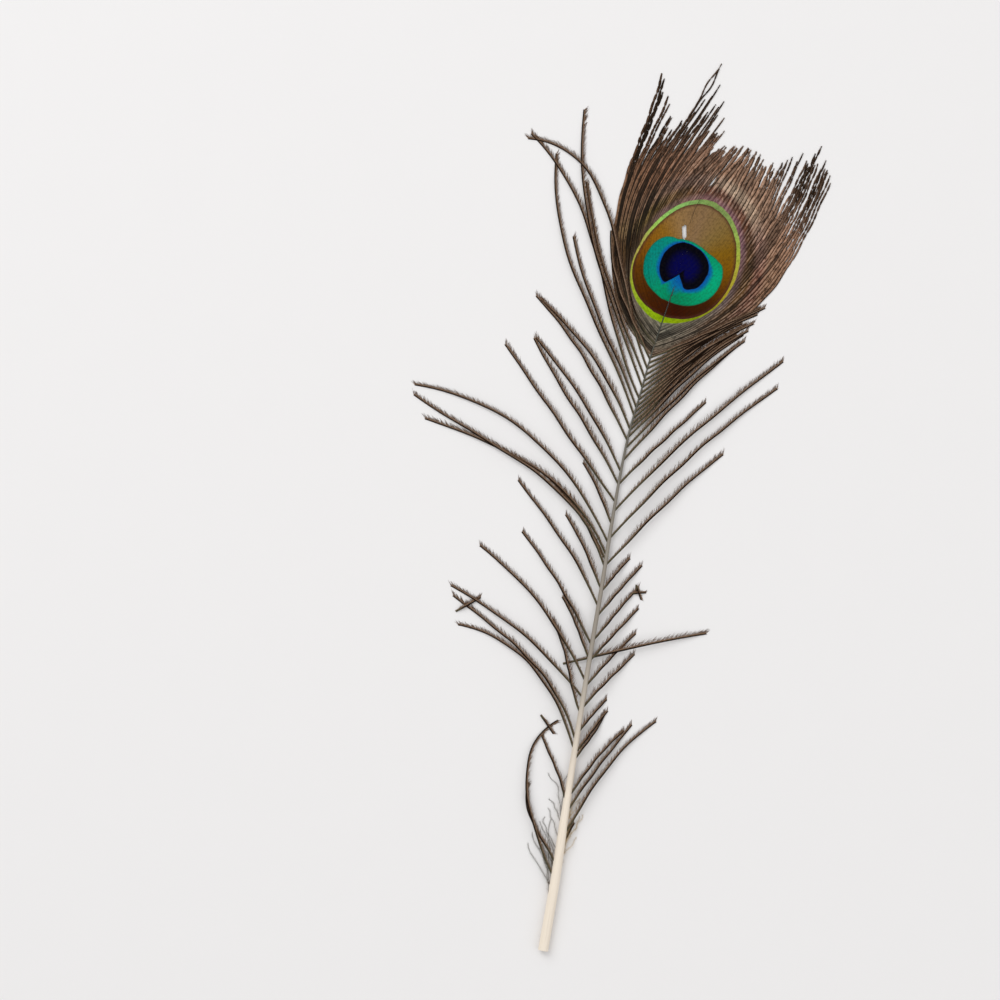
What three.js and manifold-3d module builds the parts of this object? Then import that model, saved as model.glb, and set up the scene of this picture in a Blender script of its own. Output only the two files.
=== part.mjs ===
// Peacock tail feather with its eye, lying flat with its face up.
// Millimetres, +Z up, +Y along the shaft towards the eye, the surface it lies on at Z = 0.
// Shaft, barbs and eye grew as one piece, so they are joined into one solid named feather.

import * as THREE from 'three';
import { mergeVertices } from 'three/addons/utils/BufferGeometryUtils.js';
import Module from 'manifold-3d';

// The quill's cut end. Every other place below is measured from it, X to the right and Y up the shaft.
const QUILL_END = new THREE.Vector2(16.18, -139.99);

// Shaft: its bends as [x, y], and its width as [station, width], a station being a distance up Y.
const SHAFT_BENDS = [
  [0, 0], [-0.6, 22], [-1.5, 40], [-2.6, 65], [-3.6, 92], [-4.3, 115], [-5.0, 132],
  [-5.4, 150], [-5.3, 162], [-4.2, 175], [-3.2, 188], [-1.4, 202], [0.2, 214], [1.2, 227], [3.0, 241],
];
const SHAFT_WIDTHS = [
  [0, 3.2], [28, 2.95], [42, 2.6], [55, 2.1], [66, 1.85], [95, 1.5], [125, 1.2], [162, 1.0], [241, 0.7],
];
const SHAFT_SIDES = 8;
const SHAFT_STEPS = 36;
const ARCH_RISE = 1.4; // how far the middle of the shaft stands off the surface
const EYE_BASE = 188; // station where the closed vane of the eye begins

// Loose barbs below the eye, lowest first: [station, leaving angle, tip x, tip y, angle at the tip].
// Angles are in degrees from +Y, turning to the right.
const RIGHT_BARBS = [
  [25, 6, 1.9, 40.5, 22], [35, 21, 20.5, 76.2, 44], [42.5, 22, 13.4, 73.8, 28], [47.5, 24, 11.3, 71.5, 38],
  [59, 22, 4.5, 75.5, 12], [61.5, 30, 5.2, 76.5, 30], [68, 27, 4.2, 80, 32], [75.5, 28, 9.9, 95.4, 33],
  [82.5, 30, 9.0, 101.7, 36], [90.5, 31, 8.4, 109.6, 32], [97, 32, 7.2, 115.9, 34], [104.6, 30, 6.8, 122.8, 32],
  [112.4, 31, 2.7, 124.2, 34], [120.5, 33, 24.7, 161.5, 41], [129, 32, 37.2, 184.8, 44],
  [137.5, 32, 37.3, 193.3, 42], [146, 33, 16.3, 176.3, 36], [153.6, 32, 23.0, 195.8, 40],
  [157.5, 34, 24.4, 197.2, 44], [161, 36, 23.6, 199, 47], [165, 38, 24.8, 200.5, 50],
  [169, 40, 23.6, 202, 52], [173, 42, 26.0, 203, 55], [177, 45, 24.2, 204.4, 57], [181, 49, 26.6, 206, 57],
  [184.8, 55, 28.5, 208.5, 54],
];
const LEFT_BARBS = [
  [22, -37, -9.5, 70.8, 50], [26, -34, -14.8, 50, 4], [44.5, -16, -13.6, 65.3, -32],
  [62, -26, -45.6, 93.7, -90], [65, -26, -48.9, 102.2, -64], [74, -34, -17.2, 100.5, -40],
  [79, -50, -50.1, 105.1, -72], [84, -37, -43.7, 119, -63], [91, -34, -15.6, 108.4, -42],
  [95.5, -38, -31.8, 125.8, -49], [107.5, -34, -36.1, 141.2, -48], [113, -34, -19.6, 133.6, -44],
  [120, -31, -26.4, 143.4, -56], [122, -34, -73, 160.9, -66], [123.5, -33, -68.1, 154.3, -82],
  [127.4, -36, -73.3, 164, -92], [133.5, -34, -17.5, 150.5, -44], [140.5, -47, -48.3, 181.7, -46],
  [146, -38, -39.9, 185.3, -38], [150, -36, -39.3, 185.6, -50], [160, -38, -41.8, 198.3, -54],
  [163.5, -33, -40.1, 197.5, -58], [168, -30, -44.4, 242.9, -6], [170.5, -31, -34.2, 218.7, -22],
  [173.5, -36, -53.2, 247.4, -56], [177, -31, -38.6, 257.9, -5], [180, -33, -33.5, 236, -18],
  [183, -34, -53.8, 245.7, -96], [186, -36, -23.1, 222.8, -8],
];
// A barb that has come adrift and lies across the shaft: [root x, root y, then as above].
const STRAY_BARB = [-11.3, 88.2, 66, 30.4, 106, 70];

// Eye vane: barbs that lead each side of the fan, from its edge in towards the shaft's end, as above.
const LEFT_EYE = [
  [188, -58, -17.4, 274, 3], [197, -50, -15.2, 271.3, 4], [205, -39, -12.4, 265, 6], [212, -29, -10.5, 253, 17],
  [220, -17, -3.6, 266, 24], [229, -3, 0.5, 279.9, 22],
];
const RIGHT_EYE = [
  [188, 66, 40.6, 250.5, 4], [196, 56, 38, 262.6, 10], [205, 47, 31.8, 258.6, 11], [214, 38, 24, 254, 12],
  [225, 29, 12.2, 256.6, 16], [237, 20, 3.4, 268, 20],
];
const EYE_LOCKS = 13; // locks on each side of the eye

// Barbs and locks are ridged strips: flat underneath with the barb's own stem as the ridge.
const BARB = { width: 1.7, height: 1.0, tipWidth: 0.5, steps: 6, lift: 1.6 };
const LOCK = { width: 2.9, height: 1.15, tipWidth: 0.7, steps: 8 };
const LOCK_SEAT = 0.3; // height of a lock's underside over the surface, inside the web
const WEB_THICKNESS = 0.75; // where the eye's barbs are zipped into one surface
const WEB_REACH = 0.72; // how far out along its barbs the web goes
const WEB_POINTS = 10; // points on each stretch of the web's edge
const BEZIER_HOLD = 0.38; // length of a curve's handles, as a share of its chord
const BROWN = 0x57442f;

// Value at a station in rows of [station, value], held level past the first and last row.
function valueAt(rows, station) {
  const upper = rows.findIndex((row) => row[0] >= station);
  if (upper === 0) return rows[0][1];
  if (upper < 0) return rows.at(-1)[1];
  const [below, above] = [rows[upper - 1], rows[upper]];
  return THREE.MathUtils.mapLinear(station, below[0], above[0], below[1], above[1]);
}

const shaftSway = SHAFT_BENDS.map(([x, y]) => [y, x]);

// Centre of the shaft at a station: it lies on its quill end and on the eye, and arches a little between.
function shaftPoint(station) {
  const arch = ARCH_RISE * Math.sin(Math.PI * Math.min(1, station / EYE_BASE)) ** 2;
  const halfHeight = valueAt(SHAFT_WIDTHS, station) / 2 * Math.cos(Math.PI / SHAFT_SIDES);
  return new THREE.Vector3(valueAt(shaftSway, station), station, halfHeight + arch);
}

function heading(degrees) {
  const turn = THREE.MathUtils.degToRad(degrees);
  return new THREE.Vector3(Math.sin(turn), Math.cos(turn), 0);
}

// Curve of a barb from its root to a tip that touches the surface, over a hump of the given lift.
function barbCurve(root, leave, tipX, tipY, tipAngle, lift) {
  const tip = new THREE.Vector3(tipX, tipY, 0);
  const hold = BEZIER_HOLD * root.distanceTo(tip);
  const outward = root.clone().addScaledVector(heading(leave), hold);
  const inward = tip.clone().addScaledVector(heading(tipAngle), -hold);
  outward.z = root.z + lift;
  inward.z = 0.6 * lift;
  return new THREE.CubicBezierCurve3(root, outward, inward, tip);
}

// Bends a straight prism of a unit section along a curve, no lower than the surface it lies on;
// size gives its width and height along the way.
function sweep(section, curve, steps, size) {
  const geometry = new THREE.ExtrudeGeometry(section, { depth: 1, steps, bevelEnabled: false });
  const place = geometry.attributes.position;
  const vertex = new THREE.Vector3();
  for (let i = 0; i < place.count; i++) {
    vertex.fromBufferAttribute(place, i);
    const { width, height } = size(vertex.z);
    const along = curve.getTangent(vertex.z).setZ(0).normalize();
    const point = curve.getPoint(vertex.z);
    point.x += -along.y * vertex.x * width;
    point.y += along.x * vertex.x * width;
    point.z = Math.max(0, point.z + vertex.y * height);
    place.setXYZ(i, point.x, point.y, point.z);
  }
  return geometry;
}

function polygon(corners) {
  return new THREE.Shape(corners.map(([x, y]) => new THREE.Vector2(x, y)));
}

const ridged = polygon([[-0.5, 0], [0.5, 0], [0, 1]]);
const round = polygon(Array.from({ length: SHAFT_SIDES }, (_, i) => {
  const turn = (2 * Math.PI * (i + 0.5)) / SHAFT_SIDES;
  return [Math.cos(turn) / 2, Math.sin(turn) / 2];
}));

function shaft() {
  const curve = new THREE.CatmullRomCurve3(SHAFT_BENDS.map(([, y]) => shaftPoint(y)));
  return sweep(round, curve, SHAFT_STEPS, (t) => {
    const width = valueAt(SHAFT_WIDTHS, curve.getPoint(t).y);
    return { width, height: width };
  });
}

// Full at a third of its length and drawn in to a blunt tip.
function taper({ width, height, tipWidth }, t) {
  const share = Math.min(1, 0.55 + 1.4 * t) * (1 - Math.max(0, (t - 0.35) / 0.65) ** 2);
  return { width: Math.max(tipWidth, width * share), height: height * (1 - 0.45 * t) };
}

function looseBarb(curve) {
  return sweep(ridged, curve, BARB.steps, (t) => taper(BARB, t));
}

function rootedBarb([station, leave, tipX, tipY, tipAngle]) {
  const root = shaftPoint(station);
  root.z = Math.max(LOCK_SEAT, root.z - BARB.height / 2);
  return looseBarb(barbCurve(root, leave, tipX, tipY, tipAngle, BARB.lift));
}

function strayBarb([x, y, leave, tipX, tipY, tipAngle]) {
  const root = new THREE.Vector3(x, y, 0);
  return looseBarb(barbCurve(root, leave, tipX, tipY, tipAngle, 2.4 * BARB.lift));
}

// Barb curve at a share of the way from a fan's edge to its middle, between the barbs that lead it.
function fanCurve(leaders, share) {
  const place = share * (leaders.length - 1);
  const first = Math.min(leaders.length - 2, Math.floor(place));
  const [station, leave, tipX, tipY, tipAngle] = leaders[first].map((value, i) =>
    THREE.MathUtils.lerp(value, leaders[first + 1][i], place - first));
  const root = shaftPoint(station).setZ(LOCK_SEAT);
  return barbCurve(root, leave, tipX, tipY, tipAngle, 0);
}

function eyeLocks(leaders) {
  return Array.from({ length: EYE_LOCKS }, (_, i) => {
    const curve = fanCurve(leaders, i / (EYE_LOCKS - 1));
    return sweep(ridged, curve, LOCK.steps, (t) => taper(LOCK, t));
  });
}

// The zipped part of the eye: up one edge barb, across the fan and down the other.
function web() {
  const shares = Array.from({ length: WEB_POINTS }, (_, i) => (i + 0.5) / WEB_POINTS);
  const edge = (leaders) => shares.map((s) => fanCurve(leaders, 0).getPoint(s * WEB_REACH));
  const across = (leaders) => shares.map((s) => fanCurve(leaders, s).getPoint(WEB_REACH));
  const outline = [
    shaftPoint(EYE_BASE), ...edge(RIGHT_EYE), ...across(RIGHT_EYE),
    ...across(LEFT_EYE).reverse(), ...edge(LEFT_EYE).reverse(),
  ];
  const shape = polygon(outline.map(({ x, y }) => [x, y]));
  return new THREE.ExtrudeGeometry(shape, { depth: WEB_THICKNESS, bevelEnabled: false });
}

const wasm = await Module();
wasm.setup();

function toSolid(geometry) {
  geometry.deleteAttribute('normal');
  geometry.deleteAttribute('uv');
  const merged = mergeVertices(geometry, 1e-4);
  return new wasm.Manifold(new wasm.Mesh({
    numProp: 3,
    vertProperties: new Float32Array(merged.attributes.position.array),
    triVerts: new Uint32Array(merged.index.array),
  }));
}

function toGeometry(solid) {
  const mesh = solid.getMesh();
  const geometry = new THREE.BufferGeometry();
  geometry.setAttribute('position', new THREE.BufferAttribute(mesh.vertProperties, 3));
  geometry.setIndex(new THREE.BufferAttribute(mesh.triVerts, 1));
  geometry.computeVertexNormals();
  return geometry;
}

const pieces = [
  shaft(), web(), ...eyeLocks(LEFT_EYE), ...eyeLocks(RIGHT_EYE),
  ...LEFT_BARBS.map(rootedBarb), ...RIGHT_BARBS.map(rootedBarb), strayBarb(STRAY_BARB),
];
const whole = pieces.map(toSolid).reduce((joined, solid) => joined.add(solid));

const feather = new THREE.Mesh(
  toGeometry(whole),
  new THREE.MeshStandardMaterial({ color: BROWN, roughness: 0.6, metalness: 0 }),
);
feather.name = 'feather';
feather.position.set(QUILL_END.x, QUILL_END.y, 0);

const group = new THREE.Group();
group.name = 'peacock_feather';
group.add(feather);

export default group;
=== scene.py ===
# Natural peacock tail feather with its eye, lying flat with its face up: the fine shaft, vanes, fringes and
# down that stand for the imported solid. Tables are in millimetres from the quill's cut end, X to the right
# and Y up the shaft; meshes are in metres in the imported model's frame.

import math

import bmesh
import bpy
import numpy as np
from bpy.props import FloatProperty, FloatVectorProperty, IntProperty, PointerProperty
from bpy.types import Operator, Panel, PropertyGroup
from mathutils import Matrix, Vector


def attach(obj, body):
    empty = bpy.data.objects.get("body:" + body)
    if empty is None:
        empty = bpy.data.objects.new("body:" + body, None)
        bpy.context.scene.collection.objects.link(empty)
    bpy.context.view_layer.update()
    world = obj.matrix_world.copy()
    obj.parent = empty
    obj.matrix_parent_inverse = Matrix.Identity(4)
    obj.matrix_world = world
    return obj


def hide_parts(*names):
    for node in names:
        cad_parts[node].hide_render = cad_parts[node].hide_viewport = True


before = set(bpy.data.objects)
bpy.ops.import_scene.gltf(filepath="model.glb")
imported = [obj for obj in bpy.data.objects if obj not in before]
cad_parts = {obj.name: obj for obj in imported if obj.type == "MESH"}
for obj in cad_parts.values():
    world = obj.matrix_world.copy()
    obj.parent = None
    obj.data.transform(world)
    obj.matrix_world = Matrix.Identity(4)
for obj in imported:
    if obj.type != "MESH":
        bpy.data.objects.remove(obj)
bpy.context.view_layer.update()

bl_info = {
    "name": "Peacock eye feather",
    "version": (1, 0, 0),
    "blender": (4, 5, 0),
    "location": "View3D > Sidebar > Feather",
    "description": "Builds a natural peacock eye feather around its packed frame",
    "category": "Object",
}

MM = 0.001
BODY = "root"
NODE = "feather"
QUILL_END = np.array([16.18, -139.99])  # in the frame, as in the solid's source
SEED = 11

# Camera view: the photograph's frame, in which the quill's cut end lies at QUILL_PIXEL.
FRAME_PIXELS = 1000
QUILL_PIXEL = (543, 950)
PIXEL = 0.31  # millimetres of the surface that a pixel shows
LEAN = 11.3  # degrees that the shaft's Y axis leans to the right in the frame

# Shaft: its bends as [x, y], and its width as [station, width], a station being a distance up Y.
SHAFT_BENDS = [
    [0, 0], [-0.6, 22], [-1.5, 40], [-2.6, 65], [-3.6, 92], [-4.3, 115], [-5.0, 132],
    [-5.4, 150], [-5.3, 162], [-4.2, 175], [-3.2, 188], [-1.4, 202], [0.2, 214], [1.2, 227], [3.0, 241],
]
SHAFT_WIDTHS = [
    [0, 3.2], [28, 2.95], [42, 2.6], [55, 2.1], [66, 1.85], [95, 1.5], [125, 1.25], [145, 0.95], [162, 0.7],
    [176, 0.52], [188, 0.42], [200, 0.32], [214, 0.26], [241, 0.18],
]
SHAFT_TIP = 241
ARCH_RISE = 1.4  # how far the middle of the shaft stands off the surface
EYE_BASE = 188  # station where the closed vane of the eye begins
CALAMUS_END = 42  # station where the bare round quill turns into the grooved shaft

# Loose barbs below the eye: [station, leaving angle, tip x, tip y, angle at the tip], degrees from +Y.
RIGHT_BARBS = [
    [25, 6, 1.9, 40.5, 22], [35, 21, 20.5, 76.2, 44], [42.5, 22, 13.4, 73.8, 28],
    [47.5, 24, 11.3, 71.5, 38], [59, 22, 4.5, 75.5, 12], [61.5, 30, 5.2, 76.5, 30], [68, 27, 4.2, 80, 32],
    [75.5, 28, 9.9, 95.4, 33], [82.5, 30, 9.0, 101.7, 36], [90.5, 31, 8.4, 109.6, 32],
    [97, 32, 7.2, 115.9, 34], [104.6, 30, 6.8, 122.8, 32], [112.4, 31, 2.7, 124.2, 34],
    [120.5, 33, 24.7, 161.5, 41], [129, 32, 37.2, 184.8, 44], [137.5, 32, 37.3, 193.3, 42],
    [146, 33, 16.3, 176.3, 36], [153.6, 32, 23.0, 195.8, 40], [157.5, 34, 24.4, 197.2, 44],
    [161, 36, 23.6, 199, 47], [163.2, 37, 21.5, 198.6, 49], [165, 38, 24.8, 200.5, 50],
    [167, 39, 22.2, 200, 51], [169, 40, 23.6, 202, 52], [171, 41, 24.0, 201.8, 54],
    [173, 42, 26.0, 203, 55], [175, 43.5, 22.4, 202.4, 56], [177, 45, 24.2, 204.4, 57],
    [179, 47, 25.0, 205, 57], [181, 49, 26.6, 206, 57], [183, 52, 25.4, 206.2, 56],
    [184.8, 55, 28.5, 208.5, 54], [186.6, 59, 27.0, 208, 54],
]
LEFT_BARBS = [
    [22, -37, -9.5, 70.8, 50], [26, -34, -14.8, 50, 4], [44.5, -16, -13.6, 65.3, -32],
    [62, -26, -45.6, 93.7, -90], [65, -26, -48.9, 102.2, -64], [74, -34, -17.2, 100.5, -40],
    [79, -50, -50.1, 105.1, -72], [84, -37, -43.7, 119, -63], [91, -34, -15.6, 108.4, -42],
    [95.5, -38, -31.8, 125.8, -49], [107.5, -34, -36.1, 141.2, -48], [113, -34, -19.6, 133.6, -44],
    [120, -31, -26.4, 143.4, -56], [122, -34, -73, 160.9, -66], [123.5, -33, -68.1, 154.3, -82],
    [127.4, -36, -73.3, 164, -92], [133.5, -34, -17.5, 150.5, -44], [140.5, -47, -48.3, 181.7, -46],
    [146, -38, -39.9, 185.3, -38], [150, -36, -39.3, 185.6, -50], [160, -38, -41.8, 198.3, -54],
    [163.5, -33, -40.1, 197.5, -58], [168, -30, -44.4, 242.9, -6], [170.5, -31, -34.2, 218.7, -22],
    [173.5, -36, -53.2, 247.4, -56], [177, -31, -38.6, 257.9, -5], [180, -33, -33.5, 236, -18],
    [183, -34, -53.8, 245.7, -96], [186, -36, -23.1, 222.8, -8],
]
# Broken barbs that lie loose, the first across the shaft: [lift, root x, root y, then as above].
STRAY_BARBS = [
    [3.8, -11.3, 88.2, 66, 30.4, 106, 70], [1.3, -47.1, 97.6, 52, -40.3, 103.4, 46],
    [1.3, -15, 71.3, 134, -10, 66.3, 136], [0.9, 6.1, 116.6, 152, 8.5, 112.4, 148],
    [0.9, 5.1, 113.6, 72, 9.6, 114.8, 78],
]
BARB_LIFT = 1.6
STRAY_HEIGHT = 0.15
REST_HEIGHT = 0.12  # of barbs' tips, and of the roots of the eye's barbs
# Down beside the bare quill: [side, count, first and last station, longest].
DOWN_TUFTS = [[-1, 15, 17, 44, 17], [1, 13, 23, 46, 12]]
DOWN_LIFT, DOWN_HEIGHT = 0.6, 0.1  # half way out and at the tips
BEZIER_HOLD = 0.38  # length of a curve's handles, as a share of its chord
BARB_STEPS, DOWN_STEPS = 44, 16
FRINGE_SPLIT = 119  # station that parts the lower from the upper loose barbs

# Barbules: [spacing along the barb, lean away from it in degrees, length of a tooth, width].
FAR_BARBULES = [0.11, 37, 1.8, 0.1]  # on a loose barb's side towards the eye
NEAR_BARBULES = [0.33, 30, 1.1, 0.1]  # on its side towards the quill
EYE_BARBULES = [0.28, 26, 1.0, 0.11]
DOWN_BARBULES = [0.3, 42, 2.5, 0.05]
EYE_BARBULE_LENGTH = 0.5

# Eye vane: barbs that lead each side of the fan, from its edge in towards the shaft's end:
# [station, leaving angle, x, y and angle where it turns inwards, tip x, tip y, angle at the tip].
LEFT_EYE = [
    [188, -58, -22, 230, 0, -17.4, 274, 3], [190.8, -56, -20, 232, 4, -12.4, 266.8, 13],
    [192.4, -54, -18.6, 232, 6, -11, 255, 21], [194, -52, -16.8, 231, 6, -6.6, 262.8, 23],
    [195.5, -50, -14, 231.5, 9, -1.4, 265.4, 25], [199, -44, -9.6, 232, 17, 3, 261, 28],
    [206.5, -38, -7.2, 233, 18, 5.5, 256.8, 31], [217, -28, -2.5, 234, 20, 9, 255.5, 30],
    [229, 2, 2.8, 239.5, 20, 10.5, 256.5, 25],
]
RIGHT_EYE = [
    [188, 66, 31, 218.3, 24, 40.6, 250.5, 13], [190.5, 62, 24.5, 218.5, 29, 38, 262.6, 10],
    [194.5, 57, 21.2, 224, 24, 31.8, 258.6, 11], [203, 50, 18, 232, 21, 24, 254, 12],
    [216, 38, 11.8, 237, 18, 17.6, 255, 14], [238, 26, 6.3, 245.5, 27, 12, 256.6, 24],
]
# Longest barbs over the fan's middle, as above. The first two part and meet again near the highest point.
LONG_BARBS = [
    [195, -50, -14.4, 239, 16, 0.5, 280.3, 19], [195, -50, -14.2, 239, 16, 0.1, 278.6, 19],
    [196, -49, -12, 240, 19, 1.3, 273.8, 20], [199, -44, -8.5, 240, 22, 3.5, 269, 21],
    [200, -43, -7.5, 239, 24, 3.5, 261.6, 25], [196, -49, -14.2, 239, 16, -2.4, 268.5, 22],
    [196, -49, -12.8, 239.5, 18, -0.4, 270, 21], [199, -44, -8, 240, 23, 2.4, 264.5, 24],
    [200, -43, -7, 240, 23, 4.6, 264, 24], [198, -46, -10.5, 240, 21, 1.2, 267.6, 22],
    [198, -46, -9.5, 240, 22, 2.2, 267, 23], [200, -43, -6.4, 239, 25, 5.4, 260, 25],
]
LONG_HALF = 0.2  # their half width
LOOP_LENGTH, LOOP_HALF, LOOP_END = 12.0, 0.7, 1.7
# A barb that has lost its barbules and lies over the eye's left edge, as a loose barb.
BARE_BARB = [191, -52, -15.8, 224.5, 4]
BARE_LIFT, BARE_REST = 0.5, 0.25
BARE_BUSHY = 0.05  # share of a loose barb's band of barbule bases that it has left
# The parting between the vane's halves past the shaft's end: a thin dark strip, laid as a loose barb, paints
# the shade in it.
PARTING = [0, 0.35, 229.2, 7, 3.9, 241.8, 27]
PARTING_SHOWS = 0.35  # share of the eye's colour over it
SEAM_HALF = 0.4  # half width of the zipped strip over the shaft's end
# A small slit in the zipped vane above the pupil: its middle and half sizes.
SLIT, SLIT_HALF = (-0.75, 226.8), (1.35, 2.1)

TURN_STEPS, TIP_STEPS = 66, 76  # steps along a barb of the fan before and after its turn
OPEN_FROM, OPEN_TO = 1.5, 2.15  # where the zipped vane comes apart, as shares of the ring's radii
OPEN_STATIONS = (196, 228)  # between which it may begin to
TIP_SPREAD = 0.25  # how unevenly the fan's barbs end
NEW_BUNCH, BUNCH_PULL = 0.45, 0.3  # chance that a barb begins a new bunch, and how far its tips draw in
BROKEN = 0.16  # longest share of a barb's outer part that has broken off
WANDER = 0.13  # how far a barb of the fan wavers to each side past the ring
CHOPPED = 3.2  # length of each barb's end that stands apart wherever it is
STRAND_HALF = 0.35  # half width of a barb of the fan where it stands apart
SHADE_WIDTH = 1.25  # width across the fan over which the painted shade on its barbs goes from light to dark and back
BEAD_LENGTH = 2.1  # its barbules cling together in beads of about this length
SLIP = 0.05  # how unevenly a colour's edge lies from barb to barb
EYE_HEIGHTS = {"fan": 0.1, "long": 0.15, "seam": 0.16, "parting": 0.3}  # over the surface or the dome

DOME = 0.55  # height of the eye's low dome
SEATED, SEATED_AT = 0.08, (184, 190)  # how far the shaft rises over the barbs' roots at the eye
SUNK, SUNK_AT = 0.65, (208.5, 214)  # how deep it lies under the barbs past the eye's middle

# Outlines of the eye's colours, as [angle, radius] about a centre, degrees from +X turning towards +Y.
LONGEST_RADIUS = 25.0
RING_CENTRE, RING_RADII = (1.3, 218.0), (17.2, 19.6)
PUPIL_CENTRE = (1.8, 215.5)
# The green ring has its inner and then its outer radius.
RING = [
    [0, 15.6, 16.7], [15, 15.95, 17.1], [30, 16.7, 17.9], [45, 17.6, 18.95], [60, 18.4, 19.9],
    [74, 18.75, 20.35], [84, 18.45, 19.9], [93, 17.8, 19.05], [105, 16.65, 17.8], [120, 15.2, 16.3],
    [135, 14.25, 15.3], [150, 13.95, 14.85], [165, 14.1, 14.85], [178, 14.7, 15.3], [188, 15.5, 16.0],
    [198, 16.35, 16.85], [210, 17.2, 17.9], [225, 17.95, 18.95], [240, 18.3, 19.9], [255, 18.4, 20.45],
    [270, 18.2, 19.7], [285, 17.9, 18.7], [300, 17.4, 17.9], [315, 16.8, 17.3], [328, 16.2, 16.9],
    [345, 15.75, 16.65], [360, 15.6, 16.7],
]
TEAL_EDGE = [
    [0, 11.9], [15, 11.6], [22, 10.9], [30, 10.2], [37, 9.5], [45, 8.9], [60, 8.55], [75, 8.6], [90, 8.9],
    [105, 9.4], [113, 9.6], [120, 10.5], [127, 11.3], [135, 12.0], [150, 12.6], [165, 12.85], [180, 13.0],
    [195, 13.0], [210, 12.6], [225, 12.0], [240, 11.7], [252, 11.2], [270, 11.2], [285, 11.4], [300, 11.6],
    [315, 11.8], [330, 11.9], [360, 11.9],
]
PUPIL_EDGE = [
    [0, 7.3], [15, 7.5], [30, 7.55], [60, 7.6], [75, 7.7], [90, 8.0], [105, 8.4], [120, 8.4], [135, 8.3],
    [150, 8.2], [165, 8.0], [195, 7.9], [210, 7.8], [220, 7.6], [224, 7.2], [226, 5.8], [228, 4.6],
    [231, 3.4], [235, 2.5], [240, 2.7], [250, 3.05], [260, 3.6], [270, 4.6], [277, 5.8], [283, 6.2],
    [300, 6.6], [315, 6.9], [345, 6.9], [360, 7.3],
]
AZURE_WIDTH = [
    [0, 1.7], [12, 1.4], [25, 0.8], [45, 0.4], [60, 0.25], [95, 0.25], [112, 0.6], [125, 1.1], [150, 1.3],
    [180, 1.3], [200, 1.0], [212, 0.7], [225, 2.0], [235, 5.4], [245, 6.2], [258, 5.2], [270, 3.0],
    [285, 1.4], [300, 1.5], [320, 1.8], [340, 2.0], [360, 1.9],
]

# Colours by angle about the ring's centre, from far outside it to its inside: the brown vane, the olive and
# the dusky band and the mauve halo round the ring, the ring and the bronze within it.
BROWN = {
    0: "#9a745a", 25: "#ac8268", 45: "#b68e74", 65: "#ae866c", 85: "#9c745c", 105: "#926a52",
    125: "#90684f", 145: "#88664c", 180: "#6c503a", 225: "#5e4838", 262: "#7c6a58", 300: "#84604c",
}
OLIVE = {
    0: "#8a5b4a", 25: "#c29482", 45: "#d0b094", 65: "#dcbea2", 85: "#8e6e5e", 105: "#8a6a5c",
    125: "#90705a", 145: "#80604a", 165: "#846a48", 180: "#6a4c34", 225: "#54402e", 262: "#7a7464",
    300: "#6a5040",
}
DUSK = {
    0: "#805c34", 25: "#76533a", 45: "#855641", 65: "#986c5a", 85: "#704738", 105: "#8d6a44",
    125: "#5a4620", 145: "#786236", 165: "#44321e", 180: "#5b4121", 200: "#4e3622", 240: "#6a6050",
    265: "#7c7a6c", 300: "#5a4636",
}
HALO = {
    0: "#826260", 25: "#8c6670", 45: "#8a6068", 65: "#90666c", 85: "#8a6464", 105: "#8c6e62",
    125: "#806460", 145: "#665244", 165: "#503c28", 180: "#4c3e30", 200: "#6a5a4a", 225: "#958476",
    262: "#84826e", 300: "#7c7064", 330: "#7c6866",
}
RIM = {
    0: "#aca63a", 20: "#a0b044", 40: "#92ae54", 60: "#7e9454", 80: "#7c9852", 100: "#88b464",
    120: "#8ec264", 140: "#a2cc5e", 160: "#b0b058", 180: "#b0a650", 210: "#aab838", 240: "#90b018",
    262: "#8aa804", 290: "#84960e", 330: "#a89828",
}
BRONZE = {
    0: "#7c5408", 25: "#7e5c14", 50: "#7f6636", 80: "#846848", 110: "#8e6e44", 135: "#8a621c",
    165: "#86560e", 200: "#603808", 240: "#441f04", 270: "#361002", 310: "#401e04", 340: "#684006",
}
# How brightly the light catches the barbs, about the same centre.
SUNLIT = {
    0: "#c8c8c8", 60: "#ffffff", 95: "#e8e8e8", 125: "#808080", 180: "#707070", 225: "#a0a0a0",
    300: "#c8c8c8",
}
# Colours of the teal zone, about the pupil's centre.
TEAL = {
    0: "#04a478", 30: "#049468", 75: "#0a9a6e", 110: "#048e76", 150: "#04847a", 190: "#048878",
    230: "#048f66", 262: "#048056", 290: "#048f60", 330: "#04a474",
}

# Texture layout, as shares of the texture's side.
SHEET_SCALE = 1 / 115  # for a millimetre of the fan
SHEET_MARGIN = 0.004
SHEET_UNDER = 0.42  # where the underside begins
FAN_LOW = {-1: (-24, 184), 1: (-6, 184)}  # lower left corner of each side of the fan, in millimetres
LOOSE_COLUMNS = (0.86, 0.034, 4)  # where the loose barbs' columns begin, their width and their number

TOP_QUADS = 4  # sides of a strip that face up, counted from its left edge
STRIP_MARKS = np.array([1, 0.25, 0, -0.25, -1, 0])  # places across a strip: edges, stem's sides, ridge, keel
MARKS = ("across", "reach", "run", "luck", "eye", "slip", "shade")  # values kept at each point of a mesh
LOWEST = 0.02  # clearance to the surface

SHAFT_RINGS, QUILL_RINGS = 72, 14
GROOVE_DEPTH, GROOVE_HALF = 0.34, 0.2  # of the shaft's width, on its back above the bare quill
HOLLOW_WALL, HOLLOW_DEPTH = 0.28, 2.5  # of the quill's cut end
CREASE = 50  # degrees past which an edge of the shaft stays sharp

# Patterns, in millimetres: grains of the vane's velvet, the down and the paper, streaks in the quill, and
# mottles along a barb of the vane.
VELVET_GRAIN, DOWN_GRAIN, PAPER_GRAIN = 5 / 7, 10 / 9, 50 / 3
STREAK_WIDTH, STREAK_LENGTH = 0.25, 25 / 3
MOTTLE_LENGTH = 20 / 11

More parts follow.
